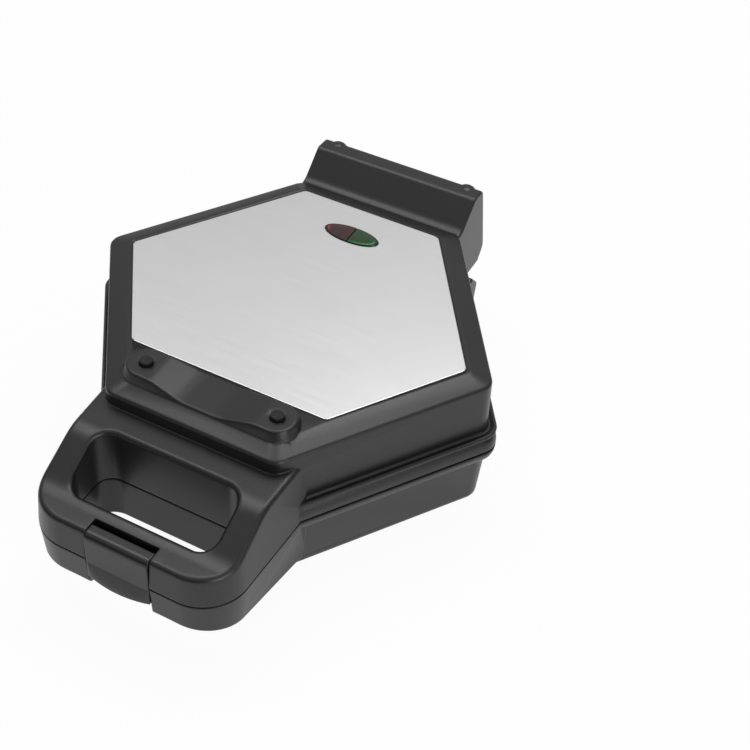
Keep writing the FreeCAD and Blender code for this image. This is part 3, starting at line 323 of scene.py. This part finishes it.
def blown_glass(tree, place, colours):
    """Soda-lime glass of a small lamp that isn't lit, with the warm tone of its electrodes."""
    streak_mm = 3.0
    streak = add(
        tree, "ShaderNodeTexNoise",
        {"Vector": place, "Scale": 1 / (streak_mm * MM), "Detail": 2.0},
    )["Fac"]
    colour = add(
        tree, "ShaderNodeMix", {0: streak, 6: colours[0], 7: colours[1]}, data_type="RGBA"
    )[2]
    return {"Base Color": colour, "Roughness": 0.06, "IOR": 1.5, "Transmission Weight": 0.7}


drawn_steel = make_material(
    "drawn_steel_pin", bright_metal, colours=("#b0b0b0", "#c2c2c2"), roughness=0.25, film_mm=1.5
)
finishes = {
    "housing_plastic": make_material(
        "moulded_black_plastic", moulded_plastic, colours=("#161616", "#1a1a1a"), roughness=0.34
    ),
    "cover_plastic": make_material(
        "matt_black_plastic", moulded_plastic, colours=("#151515", "#191919"), roughness=0.45
    ),
    "latch_plastic": make_material(
        "satin_black_plastic", moulded_plastic, colours=("#161616", "#1a1a1a"), roughness=0.30
    ),
    "inner_plastic": make_material(
        "heat_resistant_plastic", moulded_plastic, colours=("#3c3c3c", "#464646"), roughness=0.5
    ),
    "nonstick_aluminium": make_material(
        "non_stick_coated_aluminium", non_stick, colours=("#4a4a4a", "#575757")
    ),
    "brushed_panel": make_material(
        "brushed_stainless_sheet", lined_sheet, colours=("#d8d8d8", "#dedede"), roughness=0.34,
        line_mm=0.3, along=0,
    ),
    "zinc_screws": make_material(
        "zinc_plated_steel", bright_metal, colours=("#a8a9ab", "#c4c5c6"), roughness=0.3,
        film_mm=0.8,
    ),
    "pin_steel": drawn_steel,
    "fuse_metal": drawn_steel,
    "element_steel": make_material(
        "sheathed_tube_steel", bright_metal, colours=("#7a7672", "#8f8a84"), roughness=0.42,
        film_mm=2.0,
    ),
    "shield_steel": make_material(
        "aluminised_sheet", lined_sheet, colours=("#b4b4b4", "#c6c6c6"), roughness=0.38,
        line_mm=0.6, along=1,
    ),
    "rubber_black": make_material(
        "moulded_black_rubber", moulded_rubber, colours=("#101010", "#171717")
    ),
    "white_ceramic": make_material(
        "glazed_steatite", glazed_ceramic, colours=("#dcd6cc", "#ece7de")
    ),
    "lamp_glass": make_material("lamp_glass", blown_glass, colours=("#e8d8c8", "#f6efe6")),
    # Each lens's bright rim colour is a painted highlight, put on the side that toward points to.
    "red_lens": make_material(
        "red_polycarbonate", tinted_lens, body=("#330c0f", "#3a1013"), dark_rim="#120202",
        bright_rim="#f0281e", toward=(-1.0, -0.1, 0.0), start=0.78,
    ),
    "green_lens": make_material(
        "green_polycarbonate", tinted_lens, body=("#06300e", "#0a3a14"), dark_rim="#021205",
        bright_rim="#19c04e", toward=(0.75, -0.66, 0.0), start=0.4,
    ),
}


def dress_frame():
    """Give every node of the frame the finish that its record slot names."""
    slots = {part["node"]: part["material_slot"] for part in frame["record"]["subparts"]}
    for name, piece in frame["nodes"].items():
        materials = piece.data.materials
        if not materials:
            materials.append(None)
        for index in range(len(materials)):
            materials[index] = finishes[slots[name]]


dress_frame()

# Smooth copies of the shells, the plates and the rubber
weld_gap_mm = 0.002
smooth_angle = 21.0
flat_face_weight = 80


def only(piece):
    """Make one piece the whole selection."""
    bpy.ops.object.select_all(action="DESELECT")
    piece.select_set(True)
    bpy.context.view_layer.objects.active = piece


def smooth_fillets(piece):
    """Shade the fillets round, and the large flat faces flat by weighting normals by area."""
    bpy.ops.object.shade_smooth_by_angle(angle=math.radians(smooth_angle))
    flatten = piece.modifiers.new("flat_faces_stay_flat", "WEIGHTED_NORMAL")
    flatten.mode = "FACE_AREA"
    flatten.weight = flat_face_weight
    flatten.keep_sharp = True
    bpy.ops.object.modifier_apply(modifier=flatten.name)


def softened(node, body, name):
    """Copy of a node with its doubles merged, so that its fillets shade as one surface."""
    source = frame["nodes"][node]
    piece = source.copy()
    piece.data = source.data.copy()
    piece.name = name
    bpy.context.collection.objects.link(piece)
    only(piece)
    bpy.ops.object.mode_set(mode="EDIT")
    bpy.ops.mesh.select_all(action="SELECT")
    bpy.ops.mesh.remove_doubles(threshold=weld_gap_mm * MM)
    bpy.ops.object.mode_set(mode="OBJECT")
    smooth_fillets(piece)
    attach(piece, body)
    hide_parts(node)
    return piece


for node, body, slot_name in (
    ("upper_housing", "lid", "housing_plastic"),
    ("lower_housing", "base", "housing_plastic"),
    ("latch", "latch", "latch_plastic"),
    ("upper_plate", "lid", "nonstick_aluminium"),
    ("lower_plate", "base", "nonstick_aluminium"),
    ("lid_studs", "lid", "rubber_black"),
    ("base_feet", "base", "rubber_black"),
):
    softened(node, body, node + "_smooth")

# Steel panel with its cut edge rounded
level_gap_mm = 0.02
lens_clear_mm = 3.0
panel_round_mm = 0.28
panel_round_steps = 3


def sharp_edges(piece):
    """Numbers of the edges where two faces meet at more than the smooth angle."""
    normals = {}
    for face in piece.data.polygons:
        for key in face.edge_keys:
            normals.setdefault(key, []).append(face.normal)
    limit = math.cos(math.radians(smooth_angle))
    return {
        edge.index for edge in piece.data.edges
        if len(normals[edge.key]) == 2 and normals[edge.key][0].dot(normals[edge.key][1]) < limit
    }


def rounded_panel():
    """Copy of the steel sheet whose outer upper edge is rounded, so that it catches a line."""
    panel = softened("top_panel", "lid", "steel_panel")
    lens_reach = lens_half_length + lens_clear_mm * MM
    lens_middle = Vector((0.0, lens_middle_y, panel_top))
    bpy.ops.object.mode_set(mode="EDIT")
    bpy.ops.mesh.select_mode(type="EDGE")
    bpy.ops.mesh.select_all(action="DESELECT")
    bpy.ops.object.mode_set(mode="OBJECT")
    bends = sharp_edges(panel)
    for edge in panel.data.edges:
        ends = [panel.data.vertices[v].co for v in edge.vertices]
        on_top = all(abs(end.z - panel_top) < level_gap_mm * MM for end in ends)
        outer = all((end - lens_middle).length > lens_reach for end in ends)
        edge.select = on_top and outer and edge.index in bends
    bpy.ops.object.mode_set(mode="EDIT")
    bpy.ops.mesh.bevel(
        offset=panel_round_mm * MM, segments=panel_round_steps, affect="EDGES"
    )
    bpy.ops.object.mode_set(mode="OBJECT")
    smooth_fillets(panel)


rounded_panel()

# Lamp lenses
lens_sides = 48
lens_gap_mm = 0.3
lens_round_mm = 0.45
lens_round_steps = 4
lens_corner_angle = 60.0


def lens_piece(name, node, material_slot, side):
    """Half of the split lens: an elliptical plug with a rounded rim; side is -1 or 1 along x."""
    low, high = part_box(node)
    bpy.ops.object.select_all(action="DESELECT")
    bpy.ops.mesh.primitive_cylinder_add(
        vertices=lens_sides, radius=1.0, depth=high[2] - low[2],
        location=(0.0, lens_middle_y, (high[2] + low[2]) / 2),
    )
    lens = bpy.context.active_object
    lens.name = name
    lens.scale = (lens_half_length, lens_half_width, 1.0)
    bpy.ops.object.transform_apply(location=True, rotation=True, scale=True)
    bpy.ops.object.mode_set(mode="EDIT")
    bpy.ops.mesh.select_all(action="SELECT")
    bpy.ops.mesh.bisect(
        plane_co=(side * lens_gap_mm * MM / 2, 0.0, 0.0), plane_no=(side, 0.0, 0.0),
        use_fill=True, clear_inner=True,
    )
    bpy.ops.mesh.select_all(action="SELECT")
    bpy.ops.mesh.remove_doubles(threshold=weld_gap_mm * MM)
    bpy.ops.mesh.normals_make_consistent(inside=False)
    bpy.ops.object.mode_set(mode="OBJECT")
    lens.data.materials.append(finishes[material_slot])
    rounding = lens.modifiers.new("rounded_rim", "BEVEL")
    rounding.width = lens_round_mm * MM
    rounding.segments = lens_round_steps
    rounding.limit_method = "ANGLE"
    rounding.angle_limit = math.radians(lens_corner_angle)
    bpy.ops.object.modifier_apply(modifier=rounding.name)
    bpy.ops.object.shade_smooth_by_angle(angle=math.radians(smooth_angle))
    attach(lens, "lid")
    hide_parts(node)


lens_piece("red_lens_half", "red_lamp_lens", "red_lens", -1)
lens_piece("green_lens_half", "green_lamp_lens", "green_lens", 1)

# Floor
floor_width = 12.0
floor_tone = "#f2f2f2"
backdrop_white = "#ffffff"
white_share = 0.95
reflected_share = 0.6


def make_floor():
    """Pale board that keeps the shadow but shows nearly white to the camera."""
    bpy.ops.object.select_all(action="DESELECT")
    bpy.ops.mesh.primitive_plane_add(size=floor_width, location=(0.0, 0.0, 0.0))
    ground = bpy.context.active_object
    ground.name = "floor"
    material = bpy.data.materials.new("matt_white_board")
    tree = empty_tree(material)
    board = add(tree, "ShaderNodeBsdfDiffuse", {"Color": floor_tone})["BSDF"]
    white = add(
        tree, "ShaderNodeEmission", {"Color": backdrop_white, "Strength": 1.0}
    )["Emission"]
    path = add(tree, "ShaderNodeLightPath")
    reflected = add(
        tree, "ShaderNodeMath", {0: path["Is Glossy Ray"], 1: reflected_share},
        operation="MULTIPLY",
    )[0]
    direct = add(
        tree, "ShaderNodeMath", {0: path["Is Camera Ray"], 1: path["Is Transmission Ray"]},
        operation="MAXIMUM",
    )[0]
    share = add(
        tree, "ShaderNodeMath", {0: direct, 1: white_share, 2: reflected},
        operation="MULTIPLY_ADD",
    )[0]
    mix = add(tree, "ShaderNodeMixShader", {0: share, 1: board, 2: white})["Shader"]
    add(tree, "ShaderNodeOutputMaterial", {"Surface": mix})
    ground.data.materials.append(material)


# Surroundings
fill_level = 0.45
room_up = (-0.12, 0.24, 1.0)
wall_tone = "#2a2a2a"
ceiling_tone = "#d2d2d2"
wall_end = 0.22
ceiling_start = 0.62


def make_world():
    """Even light from all round; reflections show a pale ceiling over a dark wall.

    The ceiling leans away from the camera, and the dark wall that is left on the camera's side
    draws the thin dark lines along the rounded edges.
    """
    world = bpy.data.worlds.new("studio")
    bpy.context.scene.world = world
    tree = empty_tree(world)
    soft = add(
        tree, "ShaderNodeBackground", {"Color": backdrop_white, "Strength": fill_level}
    )["Background"]
    direction = add(tree, "ShaderNodeTexCoord")["Generated"]
    height = add(
        tree, "ShaderNodeVectorMath", {0: direction, 1: room_up}, operation="DOT_PRODUCT"
    )["Value"]
    ceiling = add(
        tree, "ShaderNodeMapRange",
        {"Value": height, "From Min": wall_end, "From Max": ceiling_start},
        interpolation_type="SMOOTHSTEP",
    )["Result"]
    tone = add(
        tree, "ShaderNodeMix", {0: ceiling, 6: wall_tone, 7: ceiling_tone}, data_type="RGBA"
    )[2]
    room = add(tree, "ShaderNodeBackground", {"Color": tone, "Strength": 1.0})["Background"]
    white = add(
        tree, "ShaderNodeBackground", {"Color": backdrop_white, "Strength": 1.0}
    )["Background"]
    path = add(tree, "ShaderNodeLightPath")
    seen = add(
        tree, "ShaderNodeMath", {0: path["Is Camera Ray"], 1: path["Is Transmission Ray"]},
        operation="MAXIMUM",
    )[0]
    reflected = add(
        tree, "ShaderNodeMixShader", {0: path["Is Glossy Ray"], 1: soft, 2: room}
    )["Shader"]
    direct = add(tree, "ShaderNodeMixShader", {0: seen, 1: reflected, 2: white})["Shader"]
    add(tree, "ShaderNodeOutputWorld", {"Surface": direct})


# Each lamp's name, place, width in metres and watts. The back lamp draws the sheen on the
# panel, the left one lights the lid's left slopes, and the right one the sides.
lamps = (
    ("back_lamp", (0.06, 0.55, 1.45), 0.65, 6.5),
    ("left_lamp", (-0.60, 0.16, 1.48), 0.6, 4.0),
    ("right_lamp", (1.5, -0.9, 0.6), 0.8, 10.0),
)


def softbox(name, place, width, watts):
    """Square lamp that faces the middle of the object."""
    lamp = bpy.data.lights.new(name, "AREA")
    lamp.shape = "SQUARE"
    lamp.size = width
    lamp.energy = watts
    holder = bpy.data.objects.new(name, lamp)
    bpy.context.collection.objects.link(holder)
    holder.location = place
    holder.rotation_euler = (object_middle - Vector(place)).to_track_quat("-Z", "Y").to_euler()


# Camera, with its angles in degrees and its focal length in millimetres
camera_azimuth = 30.44
camera_elevation = 44.22
camera_distance = 0.71973
camera_lens = 72.72
camera_shift_x = 0.14
camera_shift_y = 0.01333
aim_right_mm = 4.65
aim_front_mm = 38.93
aim_below_mm = 27.90


def make_camera():
    """Camera at the photograph's angle, aimed below and in front of the panel's middle."""
    camera = bpy.data.cameras.new("camera")
    camera.lens = camera_lens
    camera.shift_x = camera_shift_x
    camera.shift_y = camera_shift_y
    holder = bpy.data.objects.new("camera", camera)
    bpy.context.collection.objects.link(holder)
    aim = Vector((
        aim_right_mm * MM, panel_middle_y - aim_front_mm * MM, panel_top - aim_below_mm * MM,
    ))
    turn = Matrix.Rotation(math.radians(camera_azimuth), 4, "Z")
    tilt = Matrix.Rotation(math.radians(90.0 - camera_elevation), 4, "X")
    away = Matrix.Translation(Vector((0.0, 0.0, camera_distance)))
    holder.matrix_world = Matrix.Translation(aim) @ turn @ tilt @ away
    bpy.context.scene.camera = holder


make_floor()
make_world()
for name, place, width, watts in lamps:
    softbox(name, place, width, watts)
make_camera()

bpy.context.scene.view_settings.view_transform = "Standard"
